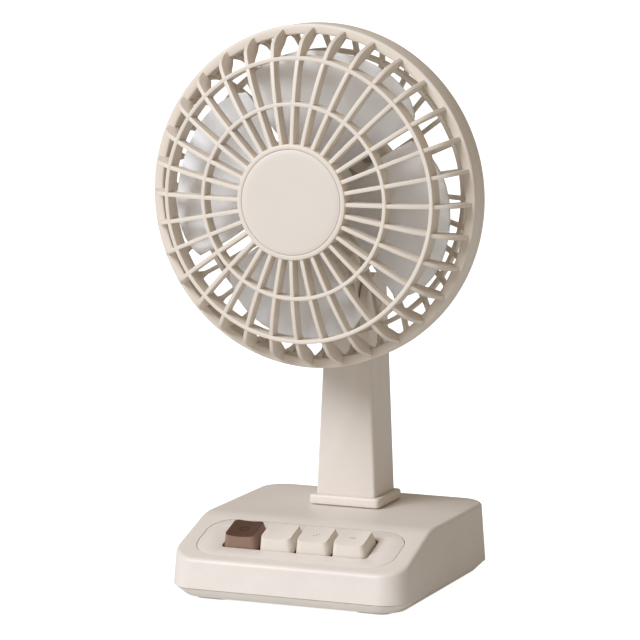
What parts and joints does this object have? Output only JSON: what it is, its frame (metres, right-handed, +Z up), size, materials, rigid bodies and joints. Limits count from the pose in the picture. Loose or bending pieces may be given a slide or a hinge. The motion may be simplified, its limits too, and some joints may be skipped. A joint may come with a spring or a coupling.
{
  "type": "desk fan",
  "caption": "Small desk fan: a round ribbed guard with a petal impeller tilts on a square column above a sloped base with square push keys and flat feet.",
  "frame": {"origin": "middle of the base's footprint, at the bottom of the feet", "axes": "+Z up, -Y toward the front of the fan, where the keys are and the air blows, +X to the right seen from the back and the head's axis along Y at rest"},
  "size_m": [0.1684, 0.132, 0.2822],
  "materials": {
    "shell_plastic": "fine moulded satin",
    "key_brown": "fine moulded satin",
    "frosted_plastic": "frosted, slightly translucent",
    "steel": "zinc plated",
    "board": "lacquered circuit board",
    "black_plastic": "moulded",
    "cell_wrap": "shrink wrap",
    "motor_can": "plated can",
    "nylon": "moulded"
  },
  "bodies": {
    "base": {"base_shell": "shell_plastic", "base_tray": "shell_plastic", "foot_front_left": "shell_plastic", "foot_front_right": "shell_plastic", "foot_rear_left": "shell_plastic", "foot_rear_right": "shell_plastic", "base_screw_front_left": "steel", "base_screw_front_right": "steel", "base_screw_rear_left": "steel", "base_screw_rear_right": "steel", "circuit_board": "board", "battery_cell": "cell_wrap", "charge_socket": "steel", "key_panel": "shell_plastic", "switch_power": "black_plastic", "switch_speed": "black_plastic", "switch_mode": "black_plastic", "switch_timer": "black_plastic", "key_board": "board", "column": "shell_plastic", "column_collar": "shell_plastic", "column_screw_left": "steel", "column_screw_right": "steel", "hinge_bolt": "steel", "hinge_nut": "steel", "hinge_washer_left": "steel", "hinge_washer_right": "steel", "motor_lead": "black_plastic"},
    "head": {"front_grille": "shell_plastic", "hub_cap": "shell_plastic", "rear_guard": "shell_plastic", "motor_housing": "shell_plastic", "housing_screw_1": "steel", "housing_screw_2": "steel", "housing_screw_3": "steel", "housing_screw_4": "steel", "motor": "motor_can", "bearing_front": "steel", "bearing_rear": "steel"},
    "rotor": {"motor_shaft": "steel", "impeller": "frosted_plastic", "impeller_nut": "nylon"},
    "key_power": {"key_power": "key_brown"},
    "key_speed": {"key_speed": "shell_plastic"},
    "key_mode": {"key_mode": "shell_plastic"},
    "key_timer": {"key_timer": "shell_plastic"}
  },
  "joints": [
    {"name": "head_tilt", "type": "hinge", "parent": "base", "child": "head", "pos_m": [0, 0.0317, 0.1403], "axis": [1, 0, 0], "range_deg": [-30, 15]},
    {"name": "rotor_spin", "type": "hinge", "parent": "head", "child": "rotor", "pos_m": [0, -0.0296, 0.198], "axis": [0, 1, 0], "continuous": true},
    {"name": "power_press", "type": "slide", "parent": "base", "child": "key_power", "axis": [0, 0.3233, -0.9463], "range_m": [0, 0.003], "stiffness_N_per_m": 300, "springref_m": -0.0006},
    {"name": "speed_press", "type": "slide", "parent": "base", "child": "key_speed", "axis": [0, 0.3233, -0.9463], "range_m": [0, 0.003], "stiffness_N_per_m": 300, "springref_m": -0.0006},
    {"name": "mode_press", "type": "slide", "parent": "base", "child": "key_mode", "axis": [0, 0.3233, -0.9463], "range_m": [0, 0.003], "stiffness_N_per_m": 300, "springref_m": -0.0006},
    {"name": "timer_press", "type": "slide", "parent": "base", "child": "key_timer", "axis": [0, 0.3233, -0.9463], "range_m": [0, 0.003], "stiffness_N_per_m": 300, "springref_m": -0.0006}
  ]
}
